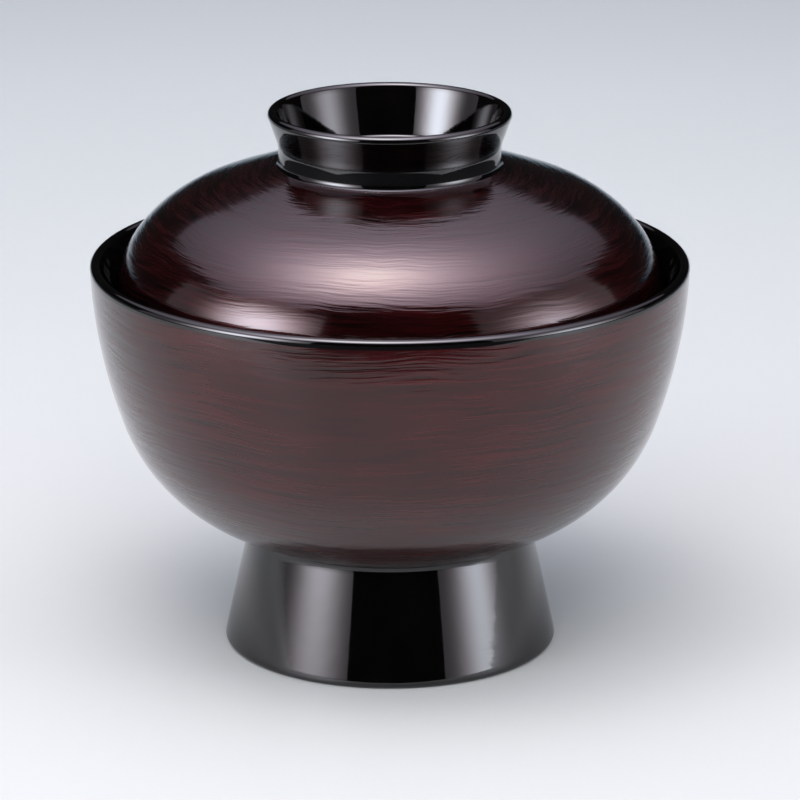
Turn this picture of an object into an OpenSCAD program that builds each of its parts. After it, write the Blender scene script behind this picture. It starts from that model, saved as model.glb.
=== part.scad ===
// Lacquered wooden soup bowl with a lid that sits inside its rim.
// The frame: +Z up along the axis of turning, origin in the middle of the foot's standing edge, on the table.
// Every piece is turned about that axis, so each is an outline of [radius, height] points.
// Lacquer coats follow the wood as parallel curves about the same centres, so neighbours meet face to face.

/* [Bowl] */
// Outside diameter of the bowl at its rim
rim_d = 120; // [110:0.5:135]
// Height of the bowl, from the table to the crest of its lip
bowl_h = 79.6; // [72:0.1:95]
// Thickness of the bowl's wall and floor, lacquer included
wall = 5.5; // [4.5:0.1:6.5]
// Width of the rounded lip
lip_w = 2.2; // [1.6:0.1:3]
// Height of the black band on the outside of the lip, from its crest
lip_band = 1.8; // [1.2:0.1:5]
// Radius of the long curve of the side
side_r = 105; // [90:1:130]
// Radius of the tighter curve of the belly
belly_r = 37.3; // [33:0.1:42]
// Lean of the side at the rim, in degrees from upright
rim_lean = 2.4; // [0.5:0.1:5]
// Lean of the side where it turns into the belly, in degrees from upright
belly_lean = 19.7; // [15:0.1:24]
// Lean of the bevelled throat inside the lip, in degrees from upright
throat_lean = 19.8; // [16:0.1:24]

/* [Foot] */
// Diameter of the foot at its standing edge
foot_d = 67.2; // [60:0.1:76]
// Diameter of the foot where it meets the bowl
foot_top_d = 57.2; // [50:0.1:62]
// Thickness of the foot ring, measured level
foot_wall = 5.2; // [4.2:0.1:7]
// Radius of the rounded edges of the standing face
foot_edge_r = 1; // [0.7:0.1:1.8]
// Radius in the corner of the hollow under the foot
foot_fillet = 3; // [1:0.1:6]
// Height of the low boss under the bowl that centres the foot ring
foot_boss_h = 2.4; // [1:0.1:4]

/* [Lid] */
// Thickness of the lid's wall, lacquer included
lid_wall = 3.4; // [2.4:0.1:4.4]
// Height of the straight skirt above the lid's rounded edge
skirt_h = 4.5; // [2:0.1:9]
// Lean of the skirt, in degrees from upright: it widens upwards
skirt_lean = 11.5; // [7:0.1:14]
// Radius of the curve at the edge of the dome
edge_r = 17; // [12:0.1:21]
// Radius of the curve of the shoulder
shoulder_r = 29.2; // [24:0.1:36]
// Radius of the nearly straight crown
crown_r = 165; // [120:1:220]
// Turn at which the edge curve gives way to the shoulder, in degrees
edge_turn = 38; // [33:0.1:43]
// Turn at which the shoulder gives way to the crown, in degrees
shoulder_turn = 69.1; // [64:0.1:73]
// Turn at which the inside of the shoulder gives way to the ceiling, in degrees
ceiling_turn = 75; // [73:0.1:77]
// Clearance between the lid's edge and the throat that it rests on
seat_gap = 0.3; // [0.1:0.05:0.6]
// How far above the foot of the throat the lid's edge rests, along the slope
seat_rise = 0.6; // [0.3:0.1:4]

/* [Grip] */
// Diameter of the grip ring at its lip
grip_d = 48.6; // [44:0.1:56]
// Diameter of the grip ring at its waist
waist_d = 44.4; // [38:0.1:46]
// Height of the grip ring above the dome
grip_h = 11.1; // [9.5:0.1:15]
// Width of the grip's rounded lip
grip_lip_w = 2; // [1.4:0.05:2.4]
// Radius of the curve from the waist into the flare
flare_r = 8; // [4:0.1:12]
// Lean of the flare, in degrees from upright
flare_lean = 19.7; // [16:0.1:28]
// Radius of the small cove where the grip meets the dome
cove_r = 1.4; // [0.8:0.1:2]
// Lean of the wall inside the grip's cup, in degrees from upright
cup_lean = 16; // [14:0.1:26]
// Radius in the corner of the cup
cup_fillet = 0.8; // [0.4:0.1:3]
// Height of the low boss on the dome that centres the grip ring
grip_boss_h = 0.6; // [0.3:0.1:3]

/* [Lacquer] */
// Thickness of a built-up lacquer coat
coat = 0.5; // [0.3:0.05:0.6]

/* [Hidden] */

// Facets of a full turn, and the steps of long curves and of small edges, in degrees
turn_fn = 96;
curve_step = 3;
edge_step = 20;
// Points nearer than this are one point
merge = 0.001;

wood_colour = [0.72, 0.55, 0.36];
black_colour = [0.05, 0.05, 0.06];
maroon_colour = [0.32, 0.16, 0.16];

// Unit vector at an angle, in degrees from level and outward, turning up
function dir(a) = [cos(a), sin(a)];

// Points of an arc about a centre, from one angle to another
function arc(centre, r, from, to, step) =
    let (n = max(1, ceil(abs(to - from) / step)))
    [for (i = [0:n]) centre + r * dir(from + (to - from) * i / n)];

// Points of a small rounded edge, with one at its widest place and one at its crest
function edge_arc(centre, r, from, to) = concat(
    arc(centre, r, from, 0, edge_step),
    arc(centre, r, 0, 90, edge_step),
    arc(centre, r, 90, to, edge_step));

// The points in the other order
function back(points) = [for (i = [len(points) - 1:-1:0]) points[i]];

// The points turned upside down about the level of zero height
function flip(points) = [for (p = points) [p[0], -p[1]]];

// An outline without the points that repeat their neighbour
function tidy(points) =
    [for (i = [0:len(points) - 1]) if (norm(points[i] - points[(i + 1) % len(points)]) > merge) points[i]];

// First point where a straight line from p along unit vector d meets the circle about c
function meet(p, d, c, r) =
    let (b = (p - c) * d, q = (p - c) * (p - c) - r * r)
    p + (-b - sqrt(b * b - q)) * d;

// A wall that runs down inside a rounded lip and turns through a fillet to a level floor.
// sink is how far under the lacquer's surface the line lies.
function cup_corner(lip, lip_r, lean, floor_z, fillet) =
    let (start = lip + (lip_r + fillet) * dir(180 - lean))
    [start[0] - (start[1] - floor_z - fillet) * tan(lean), floor_z + fillet];
function cup_wall(lip, lip_r, lean, floor_z, fillet, sink) = concat(
    arc(lip, lip_r - sink, 90, 180 - lean, edge_step),
    arc(cup_corner(lip, lip_r, lean, floor_z, fillet), fillet + sink, -lean, -90, edge_step));

// Bowl: centres of the lip, of the long side curve and of the belly
lip_r = lip_w / 2;
lip_centre = [rim_d / 2 - lip_r, bowl_h - lip_r];
side_centre = lip_centre - (side_r - lip_r) * dir(-rim_lean);
belly_centre = side_centre + (side_r - belly_r) * dir(-belly_lean);
bowl_floor_z = belly_centre[1] - belly_r + wall;
// Where the maroon ends under the black band, and where it ends at the foot
band_turn = asin((side_centre[1] - bowl_h + lip_band) / side_r);
foot_turn = acos((foot_top_d / 2 - belly_centre[0]) / belly_r);

// Outside of the bowl from the black band down to the foot
function bowl_skin(sink) = concat(
    arc(side_centre, side_r - sink, -band_turn, -belly_lean, curve_step),
    arc(belly_centre, belly_r - sink, -belly_lean, -foot_turn, curve_step));
// The stretch of side above the edge of the band, and over the lip to the throat
function bowl_lip(sink) = concat(
    arc(side_centre, side_r - sink, -band_turn, -rim_lean, curve_step),
    edge_arc(lip_centre, lip_r - sink, -rim_lean, 180 - throat_lean));
// Foot of the throat, where the bevel meets the wall inside the bowl
function ridge(sink) = meet(lip_centre + (lip_r - sink) * dir(180 - throat_lean), dir(270 - throat_lean),
    side_centre, side_r - wall + sink);
// Inside of the bowl from the foot of the throat to the middle of its floor
function bowl_inside(sink) =
    let (ridge_turn = asin((side_centre[1] - ridge(sink)[1]) / (side_r - wall + sink)))
    concat(
        arc(side_centre, side_r - wall + sink, -ridge_turn, -belly_lean, curve_step),
        arc(belly_centre, belly_r - wall + sink, -belly_lean, -90, curve_step),
        [[0, bowl_floor_z - sink]]);

// Foot: its top edge on the belly, outside and on the wood, and its outer lean from there to the edge below
foot_top = belly_centre + belly_r * dir(-foot_turn);
foot_seat = belly_centre + (belly_r - coat) * dir(-foot_turn);
foot_edge = [foot_d / 2 - foot_edge_r, foot_edge_r];
foot_lean = atan2(foot_edge[0] - foot_top[0], foot_top[1] - foot_edge[1])
    + asin(foot_edge_r / norm(foot_top - foot_edge));
foot_core_top = [foot_top[0] - (foot_seat[1] - foot_top[1]) * tan(foot_lean) - coat / cos(foot_lean),
    foot_seat[1]];
foot_inner_edge = [foot_edge[0] + 2 * foot_edge_r / cos(foot_lean) - foot_wall, foot_edge_r];
// Hollow under the foot, drawn as a cup the right way up and then flipped
hollow_z = foot_seat[1] - foot_boss_h - coat;
hollow_lip = [foot_inner_edge[0], -foot_inner_edge[1]];
foot_boss_r = cup_corner(hollow_lip, foot_edge_r, foot_lean, -hollow_z, foot_fillet)[0];
function foot_outside(sink) = concat(
    arc(foot_edge, foot_edge_r - sink, foot_lean, 0, edge_step),
    arc(foot_edge, foot_edge_r - sink, 0, -90, edge_step));
function foot_hollow(sink) =
    flip(cup_wall(hollow_lip, foot_edge_r, foot_lean, -hollow_z, foot_fillet, sink));

// Lid: its rounded edge rests on the throat of the bowl with the seat clearance
nose_r = lid_wall / 2;
nose_centre = ridge(0) - seat_rise * dir(270 - throat_lean) + (nose_r + seat_gap) * dir(180 - throat_lean);
edge_centre = nose_centre + skirt_h * dir(90 - skirt_lean) + (nose_r - edge_r) * dir(-skirt_lean);
shoulder_centre = edge_centre - (shoulder_r - edge_r) * dir(edge_turn);
crown_centre = shoulder_centre - (crown_r - shoulder_r) * dir(shoulder_turn);
// Inside, a cap on the axis closes the shoulder, flatter than the crown: the wood thickens towards the grip.
cap_r = shoulder_r + shoulder_centre[0] / cos(ceiling_turn);
cap_centre = [0, shoulder_centre[1] + (shoulder_r - cap_r) * sin(ceiling_turn)];

// Skirt and edge of the lid, and its shoulder as far as a turn, sink below the outside
function lid_side(sink, turn) = concat(
    [nose_centre + (nose_r - sink) * dir(-skirt_lean)],
    arc(edge_centre, edge_r - sink, -skirt_lean, 0, curve_step),
    arc(edge_centre, edge_r - sink, 0, edge_turn, curve_step),
    arc(shoulder_centre, shoulder_r - sink, edge_turn, turn, curve_step));
function lid_skin(sink) = concat(lid_side(sink, shoulder_turn),
    arc(crown_centre, crown_r - sink, shoulder_turn, grip_turn, curve_step));
function lid_ceiling(sink) = concat(lid_side(sink, ceiling_turn),
    arc(cap_centre, cap_r - sink, ceiling_turn, 90, curve_step));
function lid_nose(sink) =
    arc(nose_centre, nose_r - sink, -skirt_lean, -180 - skirt_lean, edge_step);

// Grip: its base on the dome, outside and on the wood
cove_rise = cove_r * sin(45);
grip_base_r = waist_d / 2 + cove_r - cove_rise;
grip_turn = acos((grip_base_r - crown_centre[0]) / crown_r);
grip_base = crown_centre + crown_r * dir(grip_turn);
grip_seat = crown_centre + (crown_r - coat) * dir(grip_turn);
grip_lip_r = grip_lip_w / 2;
grip_lip = [grip_d / 2 - grip_lip_r, grip_base[1] + grip_h - grip_lip_r];
// The flare runs from the curve above the waist up to the lip, touching both
flare_x = waist_d / 2 + flare_r;
flare_end = grip_lip + grip_lip_r * dir(-flare_lean);
flare_start_x = flare_x - flare_r * cos(flare_lean);
flare_start_z = flare_end[1] - (flare_end[0] - flare_start_x) / tan(flare_lean);
flare_centre = [flare_x, flare_start_z - flare_r * sin(flare_lean)];
cup_z = grip_seat[1] + grip_boss_h + coat;
grip_boss_r = cup_corner(grip_lip, grip_lip_r, cup_lean, cup_z, cup_fillet)[0];
cove_centre = [waist_d / 2 + cove_r, grip_base[1] + cove_rise];
function grip_side(sink) = concat(
    arc(flare_centre, flare_r + sink, 180, 180 - flare_lean, curve_step),
    edge_arc(grip_lip, grip_lip_r - sink, -flare_lean, 90));
function grip_cup(sink) = cup_wall(grip_lip, grip_lip_r, cup_lean, cup_z, cup_fillet, sink);

// Turns an outline about the axis
module turned(outline) {
    rotate_extrude($fn = turn_fn) polygon(tidy(outline));
}

// Wooden wall and floor of the bowl, with the flat seat and the boss for the foot ring
module bowl_core() {
    color(wood_colour) turned(concat(
        back(bowl_lip(coat)),
        bowl_skin(coat),
        [[foot_boss_r, foot_seat[1]], [foot_boss_r, hollow_z + coat], [0, hollow_z + coat]],
        back(bowl_inside(coat))));
}

// Wooden ring of the foot, glued under the bowl
module foot_core() {
    color(wood_colour) turned(concat(
        [foot_core_top],
        foot_outside(coat),
        foot_hollow(coat),
        [[foot_boss_r, foot_seat[1]]]));
}

// Brushed maroon lacquer outside the bowl
module bowl_outer_coat() {
    color(maroon_colour) turned(concat(bowl_skin(0), back(bowl_skin(coat))));
}

// Black lacquer inside the bowl, over the lip and down the band outside it
module bowl_inner_coat() {
    color(black_colour) turned(concat(
        bowl_lip(0),
        bowl_inside(0),
        back(bowl_inside(coat)),
        back(bowl_lip(coat))));
}

// Black lacquer round the foot, under its standing edge and in its hollow
module foot_coat() {
    color(black_colour) turned(concat(
        [foot_top],
        foot_outside(0),
        foot_hollow(0),
        [[0, hollow_z], [0, hollow_z + coat]],
        back(foot_hollow(coat)),
        back(foot_outside(coat)),
        [foot_core_top, foot_seat]));
}

// Wooden dome of the lid, with the flat seat and the boss for the grip ring
module lid_core() {
    color(wood_colour) turned(concat(
        lid_nose(coat),
        lid_ceiling(lid_wall - coat),
        [[0, cup_z - coat], [grip_boss_r, cup_z - coat], [grip_boss_r, grip_seat[1]]],
        back(lid_skin(coat))));
}

// Wooden ring of the grip, glued on the dome
module grip_core() {
    color(wood_colour) turned(concat(
        [[waist_d / 2 - coat, grip_seat[1]]],
        grip_side(coat),
        grip_cup(coat),
        [[grip_boss_r, grip_seat[1]]]));
}

// Brushed maroon lacquer on the dome
module lid_outer_coat() {
    color(maroon_colour) turned(concat(lid_skin(0), back(lid_skin(coat))));
}

// Black lacquer inside the lid and round its edge
module lid_inner_coat() {
    color(black_colour) turned(concat(
        lid_nose(0),
        lid_ceiling(lid_wall),
        back(lid_ceiling(lid_wall - coat)),
        back(lid_nose(coat))));
}

// Black lacquer over the grip ring and in its cup, with the small cove at its base
module grip_coat() {
    color(black_colour) turned(concat(
        arc(cove_centre, cove_r, 225, 180, edge_step),
        grip_side(0),
        grip_cup(0),
        [[0, cup_z], [0, cup_z - coat]],
        back(grip_cup(coat)),
        back(grip_side(coat)),
        [[waist_d / 2 - coat, grip_seat[1]], grip_seat]));
}

bowl_core();
foot_core();
bowl_outer_coat();
bowl_inner_coat();
foot_coat();
lid_core();
grip_core();
lid_outer_coat();
lid_inner_coat();
grip_coat();
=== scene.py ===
# Dresses a lacquered wooden soup bowl and its lid: lacquer coats over the turned wood, on a pale floor.
import math

import bmesh
import bpy
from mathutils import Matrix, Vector


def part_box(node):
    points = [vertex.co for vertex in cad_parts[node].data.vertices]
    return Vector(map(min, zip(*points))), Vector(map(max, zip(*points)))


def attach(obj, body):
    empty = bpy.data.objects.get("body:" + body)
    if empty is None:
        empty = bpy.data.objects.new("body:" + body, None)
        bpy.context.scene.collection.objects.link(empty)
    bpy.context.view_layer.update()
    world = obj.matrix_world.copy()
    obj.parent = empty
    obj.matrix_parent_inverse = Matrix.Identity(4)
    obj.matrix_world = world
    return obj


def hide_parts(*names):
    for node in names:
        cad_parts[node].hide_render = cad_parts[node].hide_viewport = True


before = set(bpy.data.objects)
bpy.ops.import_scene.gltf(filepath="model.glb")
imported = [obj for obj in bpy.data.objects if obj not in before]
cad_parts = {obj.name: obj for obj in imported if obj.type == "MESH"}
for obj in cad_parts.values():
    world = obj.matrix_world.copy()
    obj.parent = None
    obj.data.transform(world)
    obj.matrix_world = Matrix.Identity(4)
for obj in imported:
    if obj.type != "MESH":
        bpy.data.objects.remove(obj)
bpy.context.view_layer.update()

# The frame is in metres. Lengths below are written in millimetres times MM, angles in degrees.
MM = 0.001

# Sizes that the frame gives
RIM_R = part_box("bowl_inner_coat")[1].x
BOWL_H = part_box("bowl_inner_coat")[1].z
BAND_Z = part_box("bowl_outer_coat")[1].z
FOOT_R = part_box("foot_coat")[1].x
GRIP_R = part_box("grip_coat")[1].x
GRIP_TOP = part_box("grip_coat")[1].z

# Bowl
WALL = 5.5 * MM
LIP_R = 1.1 * MM
SIDE_R = 105 * MM
BELLY_R = 37.3 * MM
RIM_LEAN = 2.4
BELLY_LEAN = 19.7
THROAT_LEAN = 19.8

# Foot
FOOT_TOP_R = 28.6 * MM
FOOT_WALL = 5.2 * MM
FOOT_EDGE_R = 1 * MM
FOOT_CORNER_R = 3 * MM
FOOT_BOSS_H = 2.4 * MM
FOOT_FILLET_R = 1.2 * MM

# Lid
LID_WALL = 3.4 * MM
SKIRT_H = 4.5 * MM
SKIRT_LEAN = 11.5
EDGE_R = 17 * MM
SHOULDER_R = 29.2 * MM
CROWN_R = 165 * MM
EDGE_TURN = 38
SHOULDER_TURN = 69.1
CEILING_TURN = 75
SEAT_GAP = 0.3 * MM
SEAT_RISE = 0.6 * MM

# Grip
WAIST_R = 22.2 * MM
GRIP_LIP_R = 1 * MM
FLARE_R = 8 * MM
FLARE_LEAN = 19.7
COVE_R = 1.4 * MM
CUP_LEAN = 16
CUP_CORNER_R = 0.8 * MM
GRIP_BOSS_H = 0.6 * MM

# Lacquer, and the fineness of the meshes. Lengths under NIL count as none.
COAT = 0.5 * MM
SECTORS = 130
ROW = 0.8 * MM
HIDDEN_ROW = 3 * MM
ROW_TURN = 12
SHARP_TURN = 35
NIL = 1e-6

# The turned meshes' UV map, and the attribute that says where on them a point lies
MAP_NAME = "OFBake"
PLACE_NAME = "turning"

# Brushed lacquer. Three numbers say how fine a pattern is: round the axis, twice, and along the outline.
# A span is the part of a pattern's values from 0 to 1 over which what it drives changes.
SWAY = 2 * MM
SWAY_FINENESS = (2.0, 2.0, 30.0)
FINE_STREAKS = (4.0, 4.0, 2000.0)
BROAD_STREAKS = (2.5, 2.5, 600.0)
PATCHES = (1.5, 1.5, 40.0)
FINE_SHARE = 0.6
FINE_DEPTH = 0.035 * MM
BROAD_DEPTH = 0.07 * MM
RED_SPAN = (0.36, 0.66)
LEAST_RED = 0.55
GLOSS_SPAN = (0.35, 0.65)
BASE_TINT = (1.0, 0.1, 0.12, 1)
COAT_ROUGHNESS = 0.1
COAT_INDEX = 1.46
BOWL_DARK = (0.003, 0.0005, 0.0005, 1)
BOWL_RED = (0.026, 0.0016, 0.0016, 1)
LID_DARK = (0.0006, 0.0002, 0.0002, 1)
LID_RED = (0.007, 0.0005, 0.0005, 1)

# Black lacquer, its patterns as above
WAVES = (4.0, 4.0, 90.0)
HAIRS = (7.0, 7.0, 1500.0)
WAVE_DEPTH = 0.03 * MM
HAIR_DEPTH = 0.001 * MM
WAVE_SPAN = (0.35, 0.65)
HAIR_SPAN = (0.3, 0.7)
BLACK_SMOOTH = 0.03
BLACK_ROUGH = 0.07
BLACK_DEEP = (0.0002, 0.0002, 0.0002, 1)
BLACK_LIGHT = (0.0007, 0.0005, 0.0005, 1)
BLACK_INDEX = 1.56

# Turned wood. These patterns say how fine they are along X, Y and Z, and the grain runs along Y.
DRIFT = (30.0, 8.0, 30.0)
ACROSS_GRAIN = (1.0, 0.08, 1.0)
PORES = (900.0, 60.0, 900.0)
PORE_DEPTH = 0.05 * MM
RING_SCALE = 90.0
WOOD_PALE = (0.53, 0.34, 0.18, 1)
WOOD_RING = (0.36, 0.2, 0.09, 1)
WOOD_SHADE = (0.42, 0.25, 0.12, 1)
WOOD_PORE = (0.16, 0.08, 0.035, 1)


def out(angle):
    """Unit vector at an angle from level and outward, turning up."""
    return Vector((math.cos(math.radians(angle)), math.sin(math.radians(angle))))


def arc(centre, radius, start, end, row=ROW):
    """Points of an arc about a centre, from one angle to another, no further apart than a row."""
    turn = abs(end - start)
    count = max(1, math.ceil(max(math.radians(turn) * radius / row, turn / ROW_TURN)))
    return [centre + radius * out(start + (end - start) * i / count) for i in range(count + 1)]


def line(start, end, row=ROW):
    """Points of a straight line, both ends included."""
    count = max(1, math.ceil((end - start).length / row))
    return [start.lerp(end, i / count) for i in range(count + 1)]


def path(points, row=ROW):
    """A run of points with its long straight steps divided."""
    full = [points[0]]
    for nxt in points[1:]:
        full += line(full[-1], nxt, row)[1:]
    return full


def back(points):
    """The points in the other order."""
    return points[::-1]


def flip(points):
    """The points turned upside down about the level of zero height."""
    return [Vector((p.x, -p.y)) for p in points]


def meet(start, way, centre, radius):
    """First point where a straight line from start along way meets the circle about centre."""
    off = start - centre
    b = off.dot(way)
    q = off.dot(off) - radius * radius
    return start + (-b - math.sqrt(b * b - q)) * way


# Bowl: the centres of its lip, its long side curve and its belly
LIP = Vector((RIM_R - LIP_R, BOWL_H - LIP_R))
SIDE = LIP - (SIDE_R - LIP_R) * out(-RIM_LEAN)
BELLY = SIDE + (SIDE_R - BELLY_R) * out(-BELLY_LEAN)
BOWL_FLOOR = BELLY.y - BELLY_R + WALL
BAND_TURN = math.degrees(math.asin((SIDE.y - BAND_Z) / SIDE_R))
FOOT_TURN = math.degrees(math.acos((FOOT_TOP_R - BELLY.x) / BELLY_R))


def bowl_skin(sink, row=ROW):
    """Outside of the bowl from the black band down to the foot."""
    return (arc(SIDE, SIDE_R - sink, -BAND_TURN, -BELLY_LEAN, row)
            + arc(BELLY, BELLY_R - sink, -BELLY_LEAN, -FOOT_TURN, row)[1:])


def bowl_lip(sink, row=ROW):
    """The band outside the lip, and over the lip to the throat."""
    return (arc(SIDE, SIDE_R - sink, -BAND_TURN, -RIM_LEAN, row)
            + arc(LIP, LIP_R - sink, -RIM_LEAN, 180 - THROAT_LEAN, row)[1:])


def ridge(sink):
    """Foot of the throat, where the bevel meets the wall inside the bowl."""
    start = LIP + (LIP_R - sink) * out(180 - THROAT_LEAN)
    return meet(start, out(270 - THROAT_LEAN), SIDE, SIDE_R - WALL + sink)


def bowl_inside(sink, row=ROW):
    """Inside of the bowl from the foot of the throat to the middle of its floor."""
    turn = math.degrees(math.asin((SIDE.y - ridge(sink).y) / (SIDE_R - WALL + sink)))
    return (arc(SIDE, SIDE_R - WALL + sink, -turn, -BELLY_LEAN, row)
            + arc(BELLY, BELLY_R - WALL + sink, -BELLY_LEAN, -90, row)[1:]
            + [Vector((0, BOWL_FLOOR - sink))])


# Foot
FOOT_TOP = BELLY + BELLY_R * out(-FOOT_TURN)
FOOT_SEAT = BELLY + (BELLY_R - COAT) * out(-FOOT_TURN)
FOOT_EDGE = Vector((FOOT_R - FOOT_EDGE_R, FOOT_EDGE_R))
FOOT_LEAN = (math.degrees(math.atan2(FOOT_EDGE.x - FOOT_TOP.x, FOOT_TOP.y - FOOT_EDGE.y))
             + math.degrees(math.asin(FOOT_EDGE_R / (FOOT_TOP - FOOT_EDGE).length)))
FOOT_CORE_TOP = Vector((FOOT_TOP.x - (FOOT_SEAT.y - FOOT_TOP.y) * math.tan(math.radians(FOOT_LEAN))
                        - COAT / math.cos(math.radians(FOOT_LEAN)), FOOT_SEAT.y))
FOOT_INNER_EDGE = Vector((FOOT_EDGE.x + 2 * FOOT_EDGE_R / math.cos(math.radians(FOOT_LEAN)) - FOOT_WALL,
                          -FOOT_EDGE_R))
HOLLOW_Z = FOOT_SEAT.y - FOOT_BOSS_H - COAT


def cup_wall(lip, lip_r, lean, floor_z, corner_r, sink, row=ROW):
    """A wall that runs down inside a rounded lip and turns through a corner curve to a level floor."""
    start = lip + (lip_r + corner_r) * out(180 - lean)
    drop = start.y - floor_z - corner_r
    corner = Vector((start.x - drop * math.tan(math.radians(lean)), floor_z + corner_r))
    return (arc(lip, lip_r - sink, 90, 180 - lean, row)
            + arc(corner, corner_r + sink, -lean, -90, row)
            + [Vector((0, floor_z - sink))])


FOOT_FILLET = meet(FOOT_EDGE + (FOOT_EDGE_R + FOOT_FILLET_R) * out(FOOT_LEAN), out(90 + FOOT_LEAN),
                   BELLY, BELLY_R + FOOT_FILLET_R)
FILLET_TURN = math.degrees(math.atan2(BELLY.y - FOOT_FILLET.y, BELLY.x - FOOT_FILLET.x))


def foot_outside(sink, row=ROW):
    """The foot's rounded standing edge, from outside to below."""
    return arc(FOOT_EDGE, FOOT_EDGE_R - sink, FOOT_LEAN, -90, row)


def foot_hollow(sink, row=ROW):
    """The hollow under the foot, from its standing edge to its middle."""
    return flip(cup_wall(FOOT_INNER_EDGE, FOOT_EDGE_R, FOOT_LEAN, -HOLLOW_Z, FOOT_CORNER_R, sink, row))


# Lid
NOSE_R = LID_WALL / 2
NOSE = (ridge(0) - SEAT_RISE * out(270 - THROAT_LEAN)
        + (NOSE_R + SEAT_GAP) * out(180 - THROAT_LEAN))
EDGE = NOSE + SKIRT_H * out(90 - SKIRT_LEAN) + (NOSE_R - EDGE_R) * out(-SKIRT_LEAN)
SHOULDER = EDGE - (SHOULDER_R - EDGE_R) * out(EDGE_TURN)
CROWN = SHOULDER - (CROWN_R - SHOULDER_R) * out(SHOULDER_TURN)
CAP_R = SHOULDER_R + SHOULDER.x / math.cos(math.radians(CEILING_TURN))
CAP = Vector((0, SHOULDER.y + (SHOULDER_R - CAP_R) * math.sin(math.radians(CEILING_TURN))))
COVE_RISE = COVE_R * math.sin(math.radians(45))
GRIP_TURN = math.degrees(math.acos((WAIST_R + COVE_R - COVE_RISE - CROWN.x) / CROWN_R))


def lid_side(sink, turn, row=ROW):
    """Skirt and edge of the lid, and its shoulder as far as a turn, sink below its outside."""
    return (line(NOSE + (NOSE_R - sink) * out(-SKIRT_LEAN), EDGE + (EDGE_R - sink) * out(-SKIRT_LEAN), row)
            + arc(EDGE, EDGE_R - sink, -SKIRT_LEAN, EDGE_TURN, row)[1:]
            + arc(SHOULDER, SHOULDER_R - sink, EDGE_TURN, turn, row)[1:])


def lid_skin(sink, row=ROW):
    """Outside of the lid from its rounded edge up to the grip."""
    return (lid_side(sink, SHOULDER_TURN, row)
            + arc(CROWN, CROWN_R - sink, SHOULDER_TURN, GRIP_TURN, row)[1:])


def lid_ceiling(sink, row=ROW):
    """The lid's inside from its rounded edge to the middle."""
    return (lid_side(sink, CEILING_TURN, row)
            + arc(CAP, CAP_R - sink, CEILING_TURN, 90, row)[1:-1]
            + [Vector((0, CAP.y + CAP_R - sink))])


def lid_nose(sink, row=ROW):
    """The lid's rounded edge, from outside to inside."""
    return arc(NOSE, NOSE_R - sink, -SKIRT_LEAN, -180 - SKIRT_LEAN, row)


# Grip
GRIP_BASE = CROWN + CROWN_R * out(GRIP_TURN)
GRIP_SEAT = CROWN + (CROWN_R - COAT) * out(GRIP_TURN)
GRIP_LIP = Vector((GRIP_R - GRIP_LIP_R, GRIP_TOP - GRIP_LIP_R))
FLARE_X = WAIST_R + FLARE_R
FLARE_END = GRIP_LIP + GRIP_LIP_R * out(-FLARE_LEAN)
FLARE_START_X = FLARE_X - FLARE_R * math.cos(math.radians(FLARE_LEAN))
FLARE_START_Z = FLARE_END.y - (FLARE_END.x - FLARE_START_X) / math.tan(math.radians(FLARE_LEAN))
FLARE = Vector((FLARE_X, FLARE_START_Z - FLARE_R * math.sin(math.radians(FLARE_LEAN))))
CUP_Z = GRIP_SEAT.y + GRIP_BOSS_H + COAT
COVE = Vector((WAIST_R + COVE_R, GRIP_BASE.y + COVE_RISE))


def grip_side(sink, row=ROW):
    """Outside of the grip from its waist to the crest of its lip."""
    return (arc(FLARE, FLARE_R + sink, 180, 180 - FLARE_LEAN, row)
            + arc(GRIP_LIP, GRIP_LIP_R - sink, -FLARE_LEAN, 90, row))


def grip_cup(sink, row=ROW):
    """Inside of the grip's cup, from the crest of its lip to the middle."""
    return cup_wall(GRIP_LIP, GRIP_LIP_R, CUP_LEAN, CUP_Z, CUP_CORNER_R, sink, row)


def turned(name, outline, body, node, material):
    """Turns a loop of (radius, height) points into a closed shape that rides on body and replaces a node.
    Each point of it keeps where it lies: round the axis, as a cosine and a sine, and along the outline."""
    loop = [p for p, nxt in zip(outline, outline[1:] + outline[:1]) if (p - nxt).length > NIL]
    bm = bmesh.new()
    place = bm.verts.layers.float_vector.new(PLACE_NAME)
    uv = bm.loops.layers.uv.new(MAP_NAME)
    angles = [2 * math.pi * k / SECTORS for k in range(SECTORS)]
    rings = []
    along = [0]
    for p, nxt in zip(loop, loop[1:] + loop[:1]):
        ring = []
        for a in angles if p.x > NIL else angles[:1]:
            vert = bm.verts.new((p.x * math.cos(a), p.x * math.sin(a), p.y))
            vert[place] = (math.cos(a), math.sin(a), along[-1])
            ring.append(vert)
        rings.append(ring)
        along.append(along[-1] + (nxt - p).length)
    for i, low in enumerate(rings):
        high = rings[(i + 1) % len(rings)]
        if len(low) == len(high) == 1:
            continue
        v0, v1 = along[i] / along[-1], along[i + 1] / along[-1]
        for k in range(SECTORS):
            u0, u1 = k / SECTORS, (k + 1) / SECTORS
            corners = [(low[k % len(low)], u0, v0), (low[(k + 1) % SECTORS % len(low)], u1, v0),
                       (high[(k + 1) % SECTORS % len(high)], u1, v1), (high[k % len(high)], u0, v1)]
            if len(low) == 1:
                corners.pop(1)
            if len(high) == 1:
                corners.pop(-1)
            face = bm.faces.new([c[0] for c in corners])
            for corner, (_, u, v) in zip(face.loops, corners):
                corner[uv].uv = (u, v)
    bmesh.ops.recalc_face_normals(bm, faces=bm.faces)
    mesh = bpy.data.meshes.new(name)
    bm.to_mesh(mesh)
    bm.free()
    mesh.polygons.foreach_set("use_smooth", [True] * len(mesh.polygons))
    mesh.set_sharp_from_angle(angle=math.radians(SHARP_TURN))
    mesh.materials.append(material)
    piece = bpy.data.objects.new(name, mesh)
    bpy.context.scene.collection.objects.link(piece)
    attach(piece, body)
    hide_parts(node)
    return piece


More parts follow.
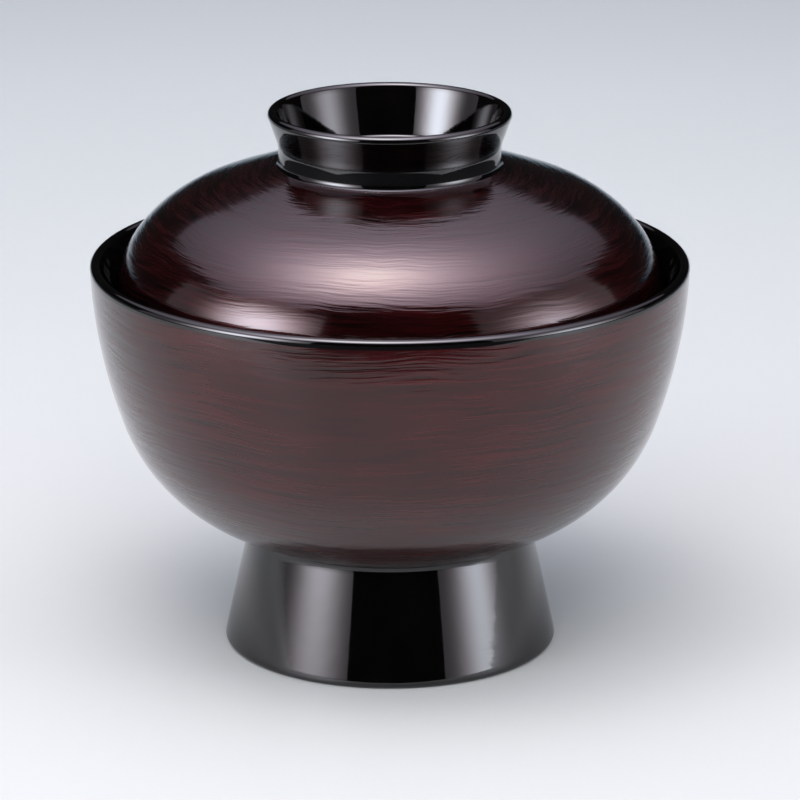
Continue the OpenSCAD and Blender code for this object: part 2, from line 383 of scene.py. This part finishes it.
def new_material(name):
    """A material with a principled shader, as (material, its node tree, the shader)."""
    material = bpy.data.materials.new(name)
    material.use_nodes = True
    tree = material.node_tree
    shader = next(n for n in tree.nodes if n.type == "BSDF_PRINCIPLED")
    return material, tree, shader


def add(tree, kind, sockets=None, **settings):
    """A node of a kind, with its settings, and its sockets set to values or linked to outputs."""
    node = tree.nodes.new("ShaderNode" + kind)
    for key, value in settings.items():
        setattr(node, key, value)
    for key, value in (sockets or {}).items():
        plug(tree, node.inputs[key], value)
    return node


def plug(tree, socket, value):
    """Sets a socket to a value, or links it to an output."""
    if isinstance(value, bpy.types.NodeSocket):
        tree.links.new(value, socket)
    else:
        socket.default_value = value


def noise(tree, place, fineness, detail=2.0, rough=0.5):
    """Noise from 0 to 1 whose features are 1 / fineness long along each axis of place."""
    spread = add(tree, "VectorMath", {0: place, 1: fineness}, operation="MULTIPLY").outputs[0]
    return add(tree, "TexNoise", {"Vector": spread, "Scale": 1.0, "Detail": detail, "Roughness": rough,
                                  "Distortion": 0.0}).outputs["Fac"]


def remap(tree, value, low, high, to_low=0.0, to_high=1.0):
    """A value from low to high taken evenly to another range, held at its ends."""
    return add(tree, "MapRange", {"Value": value, "From Min": low, "From Max": high,
                                  "To Min": to_low, "To Max": to_high}).outputs["Result"]


def maths(tree, operation, a, b):
    """A sum, product or other operation on two values."""
    return add(tree, "Math", {0: a, 1: b}, operation=operation).outputs[0]


def mix(tree, share, a, b):
    """A colour between a and b."""
    node = add(tree, "Mix", data_type="RGBA")
    plug(tree, node.inputs["Factor"], share)
    plug(tree, node.inputs[6], a)
    plug(tree, node.inputs[7], b)
    return node.outputs[2]


def relief(tree, one, one_depth, other, other_depth):
    """Bump from two patterns, each from 0 to 1, with their depths in metres."""
    height = maths(tree, "ADD", maths(tree, "MULTIPLY", one, one_depth),
                   maths(tree, "MULTIPLY", other, other_depth))
    return add(tree, "Bump", {"Height": height, "Strength": 1.0, "Distance": 1.0}).outputs[0]


def brushed_maroon(name, dark, red, smooth, rough, index):
    """Dark red lacquer brushed round the turning axis: long fine streaks from dark to red, under a clear
    coat. The lacquer goes from smooth to rough with the streaks, and index is its refractive index."""
    material, tree, shader = new_material(name)
    place = add(tree, "Attribute", attribute_name=PLACE_NAME).outputs["Vector"]
    sway = remap(tree, noise(tree, place, SWAY_FINENESS), 0.0, 1.0, -SWAY, SWAY)
    swayed = add(tree, "CombineXYZ", {"Z": sway}).outputs[0]
    place = add(tree, "VectorMath", {0: place, 1: swayed}, operation="ADD").outputs[0]
    fine = noise(tree, place, FINE_STREAKS, rough=0.55)
    broad = noise(tree, place, BROAD_STREAKS)
    patch = noise(tree, place, PATCHES)
    streak = maths(tree, "ADD", maths(tree, "MULTIPLY", fine, FINE_SHARE),
                   maths(tree, "MULTIPLY", broad, 1 - FINE_SHARE))
    redness = maths(tree, "MULTIPLY", remap(tree, streak, *RED_SPAN),
                    remap(tree, patch, *RED_SPAN, LEAST_RED, 1.0))
    plug(tree, shader.inputs["Base Color"], mix(tree, redness, dark, red))
    plug(tree, shader.inputs["Roughness"], remap(tree, streak, *GLOSS_SPAN, smooth, rough))
    bump = relief(tree, fine, FINE_DEPTH, broad, BROAD_DEPTH)
    plug(tree, shader.inputs["Normal"], bump)
    plug(tree, shader.inputs["Coat Normal"], bump)
    shader.inputs["IOR"].default_value = index
    shader.inputs["Specular Tint"].default_value = BASE_TINT
    shader.inputs["Coat Weight"].default_value = 1.0
    shader.inputs["Coat Roughness"].default_value = COAT_ROUGHNESS
    shader.inputs["Coat IOR"].default_value = COAT_INDEX
    return material


def black_gloss(name):
    """Black lacquer with a deep gloss, its surface very slightly uneven from the brush."""
    material, tree, shader = new_material(name)
    place = add(tree, "Attribute", attribute_name=PLACE_NAME).outputs["Vector"]
    wave = noise(tree, place, WAVES)
    hair = noise(tree, place, HAIRS)
    plug(tree, shader.inputs["Base Color"],
         mix(tree, remap(tree, wave, *WAVE_SPAN), BLACK_DEEP, BLACK_LIGHT))
    plug(tree, shader.inputs["Roughness"], remap(tree, hair, *HAIR_SPAN, BLACK_SMOOTH, BLACK_ROUGH))
    plug(tree, shader.inputs["Normal"], relief(tree, wave, WAVE_DEPTH, hair, HAIR_DEPTH))
    shader.inputs["IOR"].default_value = BLACK_INDEX
    return material


def turned_wood(name):
    """Pale turned wood: growth rings across the blank and fine pores along it."""
    material, tree, shader = new_material(name)
    place = add(tree, "TexCoord").outputs["Object"]
    drift = noise(tree, place, DRIFT, detail=3.0)
    across = add(tree, "VectorMath", {0: place, 1: ACROSS_GRAIN}, operation="MULTIPLY").outputs[0]
    rings = add(tree, "TexWave", {"Vector": across, "Scale": RING_SCALE, "Distortion": 4.0, "Detail": 3.0,
                                  "Detail Scale": 2.0, "Phase Offset": 0.0}, bands_direction="X")
    pores = noise(tree, place, PORES, rough=0.6)
    grain = mix(tree, remap(tree, rings.outputs["Fac"], 0.2, 0.9), WOOD_PALE, WOOD_RING)
    shade = mix(tree, remap(tree, drift, 0.3, 0.7, 0.0, 0.5), grain, WOOD_SHADE)
    plug(tree, shader.inputs["Base Color"],
         mix(tree, remap(tree, pores, 0.58, 0.72, 0.0, 0.6), shade, WOOD_PORE))
    plug(tree, shader.inputs["Roughness"], remap(tree, pores, 0.3, 0.7, 0.5, 0.75))
    bump = add(tree, "Bump", {"Height": pores, "Strength": 0.5, "Distance": PORE_DEPTH})
    plug(tree, shader.inputs["Normal"], bump.outputs[0])
    return material


BOWL_MAROON = brushed_maroon("bowl_maroon_lacquer", BOWL_DARK, BOWL_RED, smooth=0.3, rough=0.5, index=1.23)
LID_MAROON = brushed_maroon("lid_maroon_lacquer", LID_DARK, LID_RED, smooth=0.14, rough=0.35, index=1.26)
BLACK = black_gloss("black_lacquer")
WOOD = turned_wood("turned_wood")

turned("bowl_outer_lacquer", bowl_skin(0) + back(bowl_skin(COAT, HIDDEN_ROW)),
       "bowl", "bowl_outer_coat", BOWL_MAROON)
turned("bowl_inner_lacquer",
       bowl_lip(0) + path(bowl_inside(0))
       + back(bowl_lip(COAT, HIDDEN_ROW) + bowl_inside(COAT, HIDDEN_ROW)),
       "bowl", "bowl_inner_coat", BLACK)
turned("foot_lacquer",
       path(arc(FOOT_FILLET, FOOT_FILLET_R, FILLET_TURN, 180 + FOOT_LEAN) + foot_outside(0) + foot_hollow(0))
       + back([FOOT_SEAT, FOOT_CORE_TOP] + foot_outside(COAT, HIDDEN_ROW) + foot_hollow(COAT, HIDDEN_ROW)),
       "bowl", "foot_coat", BLACK)
turned("lid_outer_lacquer", lid_skin(0) + back(lid_skin(COAT, HIDDEN_ROW)),
       "lid", "lid_outer_coat", LID_MAROON)
turned("lid_inner_lacquer",
       path(back(lid_ceiling(LID_WALL)) + back(lid_nose(0)))
       + lid_nose(COAT, HIDDEN_ROW) + lid_ceiling(LID_WALL - COAT, HIDDEN_ROW),
       "lid", "lid_inner_coat", BLACK)
turned("grip_lacquer",
       path(arc(COVE, COVE_R, 225, 180) + grip_side(0) + grip_cup(0))
       + back([GRIP_SEAT, Vector((WAIST_R - COAT, GRIP_SEAT.y))] + grip_side(COAT, HIDDEN_ROW)
              + grip_cup(COAT, HIDDEN_ROW)),
       "lid", "grip_coat", BLACK)

for core in ("bowl_core", "foot_core", "lid_core", "grip_core"):
    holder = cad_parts[core]
    holder.data.materials.clear()
    holder.data.materials.append(WOOD)


def flat_piece(name, corners, material):
    """A flat stage panel with the given corners."""
    mesh = bpy.data.meshes.new(name)
    mesh.from_pydata(corners, [], [tuple(range(len(corners)))])
    mesh.materials.append(material)
    panel = bpy.data.objects.new(name, mesh)
    bpy.context.scene.collection.objects.link(panel)
    return panel


# Floor, in metres. Its colour is graded as painted light and shade: painted darker in front, where the lamps
# light it more, and painted lighter towards the back, where they light it less.
FLOOR_REACH = 4.0
GRADE_FRONT = -0.1
GRADE_BACK = 0.5
FLOOR_PAINTED_SHADE_FRONT = (0.272, 0.264, 0.253, 1)
FLOOR_PAINTED_LIGHT_BACK = (0.383, 0.377, 0.362, 1)
CLOUD_FINENESS = (3.0, 3.0, 3.0)
CLOUD = 0.12


def floor_material():
    """Pale matt sheet, its colour graded from front to back as painted light and shade, with a faint
    cloudiness.
    """
    material, tree, shader = new_material("pale_floor")
    place = add(tree, "TexCoord").outputs["Object"]
    cloud = remap(tree, noise(tree, place, CLOUD_FINENESS, detail=3.0), 0.0, 1.0, -CLOUD, CLOUD)
    depth = add(tree, "SeparateXYZ", {0: place}).outputs["Y"]
    # Painted light and shade: the colour runs from darker in front to lighter at the back, standing in for
    # how the lamps light the floor.
    painted_light_grade = maths(tree, "ADD", remap(tree, depth, GRADE_FRONT, GRADE_BACK), cloud)
    plug(tree, shader.inputs["Base Color"], mix(tree, painted_light_grade, FLOOR_PAINTED_SHADE_FRONT, FLOOR_PAINTED_LIGHT_BACK))
    shader.inputs["Roughness"].default_value = 0.4
    shader.inputs["Specular IOR Level"].default_value = 0.4
    return material


flat_piece("floor", [(-FLOOR_REACH, -FLOOR_REACH, 0), (FLOOR_REACH, -FLOOR_REACH, 0),
                     (FLOOR_REACH, FLOOR_REACH, 0), (-FLOOR_REACH, FLOOR_REACH, 0)], floor_material())


def lamp_material(name, edge_colour, lamp_colour, edge, lamp, spread, broad=False):
    """A diffuser lit from behind: edge is its light away from the lamp, and lamp what the lamp adds, which
    takes the edge's colour as it fades. spread is how far it reaches across and up, in metres, before it
    falls to 0.37 of that, or to half with a broad skirt."""
    material = bpy.data.materials.new(name)
    material.use_nodes = True
    tree = material.node_tree
    tree.nodes.clear()
    place = add(tree, "TexCoord").outputs["Object"]
    fineness = (1 / spread[0], 1 / spread[1], 0)
    scaled = add(tree, "VectorMath", {0: place, 1: fineness}, operation="MULTIPLY")
    far = add(tree, "VectorMath", {0: scaled.outputs[0]}, operation="LENGTH").outputs["Value"]
    square = maths(tree, "MULTIPLY", far, far)
    if broad:
        glow = maths(tree, "DIVIDE", 1.0, maths(tree, "ADD", square, 1.0))
    else:
        glow = maths(tree, "POWER", math.e, maths(tree, "MULTIPLY", square, -1.0))
    tone = mix(tree, glow, edge_colour, lamp_colour)
    near = add(tree, "Emission", {"Color": tone, "Strength": maths(tree, "MULTIPLY", glow, lamp)})
    rest = add(tree, "Emission", {"Color": edge_colour, "Strength": edge})
    both = add(tree, "AddShader", {0: near.outputs[0], 1: rest.outputs[0]})
    add(tree, "OutputMaterial", {"Surface": both.outputs[0]})
    return material


def softbox(name, lamp, left, right, low, high, turn, tilt, material):
    """A diffuser panel about a lamp: its reach to each side of the lamp, turned about +Z and then tilted."""
    panel = flat_piece(name, [(left, low, 0), (right, low, 0), (right, high, 0), (left, high, 0)], material)
    panel.location = lamp
    panel.rotation_euler = (math.radians(tilt), 0, math.radians(turn))
    panel.visible_camera = False
    return panel


# Each big lamp is a pair of panels. Its fill lights matt surfaces, and nothing mirrors it. Its glow is what
# the lacquer mirrors, and it lights nothing matt and shades nothing.

# Overhead lamp: level panels, their lamp a little to the front and left of the bowl. Their places and sizes
# are shares of how far they hang above the lid.
OVERHEAD_Z = 0.9
OVERHEAD_RISE = OVERHEAD_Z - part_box("lid_outer_coat")[1].z
OVERHEAD_AHEAD = 0.22
OVERHEAD_LEFT = 1.3
OVERHEAD_RIGHT = 1.6
OVERHEAD_BACK = 1.9
OVERHEAD_LAMP = 17.5
FILL_EDGE = (0.9, 0.95, 1.1, 1)
FILL_LAMP = (1.0, 0.965, 0.97, 1)
GLOW_EDGE = (1.0, 0.91, 1.12, 1)
GLOW_LAMP = (1.0, 0.97, 0.95, 1)


def overhead(name, material, aside, front):
    """A level panel whose lamp is aside to the left. Its near edge lies front ahead of the lamp."""
    lamp = (-aside * OVERHEAD_RISE, -OVERHEAD_AHEAD * OVERHEAD_RISE, OVERHEAD_Z)
    return softbox(name, lamp, -OVERHEAD_LEFT * OVERHEAD_RISE, OVERHEAD_RIGHT * OVERHEAD_RISE,
                   -front * OVERHEAD_RISE, OVERHEAD_BACK * OVERHEAD_RISE, 0, 0, material)


fill_light = lamp_material("overhead_fill_light", FILL_EDGE, FILL_LAMP, edge=0.4, lamp=OVERHEAD_LAMP,
                           spread=(0.34 * OVERHEAD_RISE, 0.23 * OVERHEAD_RISE), broad=True)
overhead_fill = overhead("overhead_fill", fill_light, aside=0.15, front=0.38)
glow_light = lamp_material("overhead_light", GLOW_EDGE, GLOW_LAMP, edge=0.05, lamp=OVERHEAD_LAMP,
                           spread=(0.34 * OVERHEAD_RISE, 0.26 * OVERHEAD_RISE), broad=True)
overhead_glow = overhead("overhead_panel", glow_light, aside=0.1, front=0.64)

# Side lamps: upright panels on the floor, in metres, at azimuths from the camera's side
SIDE_REACH = 0.65
LEFT_AZIMUTH = -56
RIGHT_AZIMUTH = 69
LEFT_TOP = 0.6
RIGHT_SHAPE = dict(lamp_z=0.1, near=0.405, far=0.5, top=0.62)
SIDE_COOL = (0.95, 1.0, 1.12, 1)
SIDE_WARM = (1.0, 0.92, 1.0, 1)


def side_lamp(name, azimuth, material, lamp_z, near, far, top):
    """An upright panel at an azimuth, facing the bowl, up to a height of top. near and far are how far it
    goes from its lamp towards the camera's side and away from it."""
    a = math.radians(azimuth)
    away = -1 if azimuth > 0 else 1
    sides = sorted((away * near, -away * far))
    return softbox(name, (SIDE_REACH * math.sin(a), -SIDE_REACH * math.cos(a), lamp_z), sides[0], sides[1],
                   -lamp_z, top - lamp_z, azimuth, 90, material)


left_fill_light = lamp_material("left_fill_light", SIDE_COOL, SIDE_COOL, edge=0.1, lamp=15.0,
                                spread=(0.22, 0.22))
left_fill = side_lamp("left_fill", LEFT_AZIMUTH, left_fill_light, lamp_z=0.3, near=0.4, far=0.36,
                      top=LEFT_TOP)
right_fill_light = lamp_material("right_fill_light", SIDE_COOL, SIDE_COOL, edge=0.1, lamp=16.0,
                                 spread=(0.18, 0.26))
right_fill = side_lamp("right_fill", RIGHT_AZIMUTH, right_fill_light, **RIGHT_SHAPE)
left_light = lamp_material("left_light", SIDE_WARM, SIDE_COOL, edge=0.45, lamp=17.0, spread=(0.2, 0.2))
left_glow = side_lamp("left_panel", LEFT_AZIMUTH, left_light, lamp_z=0.25, near=0.34, far=0.75,
                      top=LEFT_TOP)
right_light = lamp_material("right_light", SIDE_WARM, SIDE_COOL, edge=0.55, lamp=8.0, spread=(0.18, 0.24))
right_glow = side_lamp("right_panel", RIGHT_AZIMUTH, right_light, **RIGHT_SHAPE)


def only_mirrored(panel):
    """Leaves a panel to what mirrors it: it lights no matt surface and shades none."""
    panel.visible_diffuse = False
    panel.visible_shadow = False


for panel in (overhead_fill, left_fill, right_fill):
    panel.visible_glossy = False
for panel in (overhead_glow, left_glow, right_glow):
    only_mirrored(panel)

# Soft lamp in front, which lights the matt floor up to the foot
FRONT_SIZE = 0.5
FRONT_POWER = 11
FRONT_PLACE = (0, -0.75, 0.65)
FRONT_TILT = 49
front_data = bpy.data.lights.new("front_fill", "AREA")
front_data.size = FRONT_SIZE
front_data.energy = FRONT_POWER
front_fill = bpy.data.objects.new("front_fill", front_data)
bpy.context.scene.collection.objects.link(front_fill)
front_fill.location = FRONT_PLACE
front_fill.rotation_euler = (math.radians(FRONT_TILT), 0, 0)
front_fill.visible_glossy = False

# A black cloth on the floor in front, which the foot mirrors, and black cards held level to both sides,
# which the grip's waist mirrors. The camera doesn't see them.
CLOTH_BLACK = (0.004, 0.004, 0.004, 1)
CLOTH_NEAR = -0.21
CLOTH_HALF = 0.6
CLOTH_Z = 0.002
CARD_INNER = 0.145
CARD_OUTER = 0.3
CARD_BACK = 0.2
CARD_Z = 0.052
cloth_material, _, cloth_shader = new_material("black_cloth")
cloth_shader.inputs["Base Color"].default_value = CLOTH_BLACK
cloth_shader.inputs["Roughness"].default_value = 0.9
for name, left, right, front, behind, z in (
        ("front_cloth", -CLOTH_HALF, CLOTH_HALF, -FLOOR_REACH, CLOTH_NEAR, CLOTH_Z),
        ("left_card", -CARD_OUTER, -CARD_INNER, CLOTH_NEAR, CARD_BACK, CARD_Z),
        ("right_card", CARD_INNER, CARD_OUTER, CLOTH_NEAR, CARD_BACK, CARD_Z)):
    cloth = flat_piece(name, [(left, front, z), (right, front, z), (right, behind, z), (left, behind, z)],
                       cloth_material)
    cloth.visible_camera = False
    only_mirrored(cloth)

# What matt surfaces, mirrors and the camera get from all round
ROOM_LIGHT = (0.34, 0.63, 0.88, 1)
ROOM_MIRRORED = (0.9, 0.95, 1.0, 1)
ROOM_MIRRORED_STRENGTH = 0.012
BACKGROUND = (0.56, 0.6, 0.64, 1)


def pale_world():
    """A plain pale background to look at, and a dark room that sends a little bluish light to matt
    surfaces."""
    world = bpy.data.worlds.new("studio")
    bpy.context.scene.world = world
    world.use_nodes = True
    tree = world.node_tree
    tree.nodes.clear()
    rays = add(tree, "LightPath").outputs
    mirrored = add(tree, "Background", {"Color": ROOM_MIRRORED, "Strength": ROOM_MIRRORED_STRENGTH})
    light = add(tree, "Background", {"Color": ROOM_LIGHT, "Strength": 1.0})
    seen = add(tree, "Background", {"Color": BACKGROUND, "Strength": 1.0})
    room = add(tree, "MixShader", {0: rays["Is Diffuse Ray"], 1: mirrored.outputs[0], 2: light.outputs[0]})
    both = add(tree, "MixShader", {0: rays["Is Camera Ray"], 1: room.outputs[0], 2: seen.outputs[0]})
    add(tree, "OutputWorld", {"Surface": both.outputs[0]})


pale_world()

# Camera, fitted to the photograph
SENSOR = 36
FOCAL_PIXELS = 4866
FRAME_PIXELS = 800
CAMERA_DROP = 16.95
CAMERA_PLACE = (2.02 * MM, -939.8 * MM, 336.3 * MM)
camera_data = bpy.data.cameras.new("camera")
camera_data.sensor_width = SENSOR
camera_data.lens = SENSOR * FOCAL_PIXELS / FRAME_PIXELS
camera = bpy.data.objects.new("camera", camera_data)
bpy.context.scene.collection.objects.link(camera)
camera.location = CAMERA_PLACE
camera.rotation_euler = (math.radians(90 - CAMERA_DROP), 0, 0)
bpy.context.scene.camera = camera
bpy.context.scene.view_settings.view_transform = "Standard"
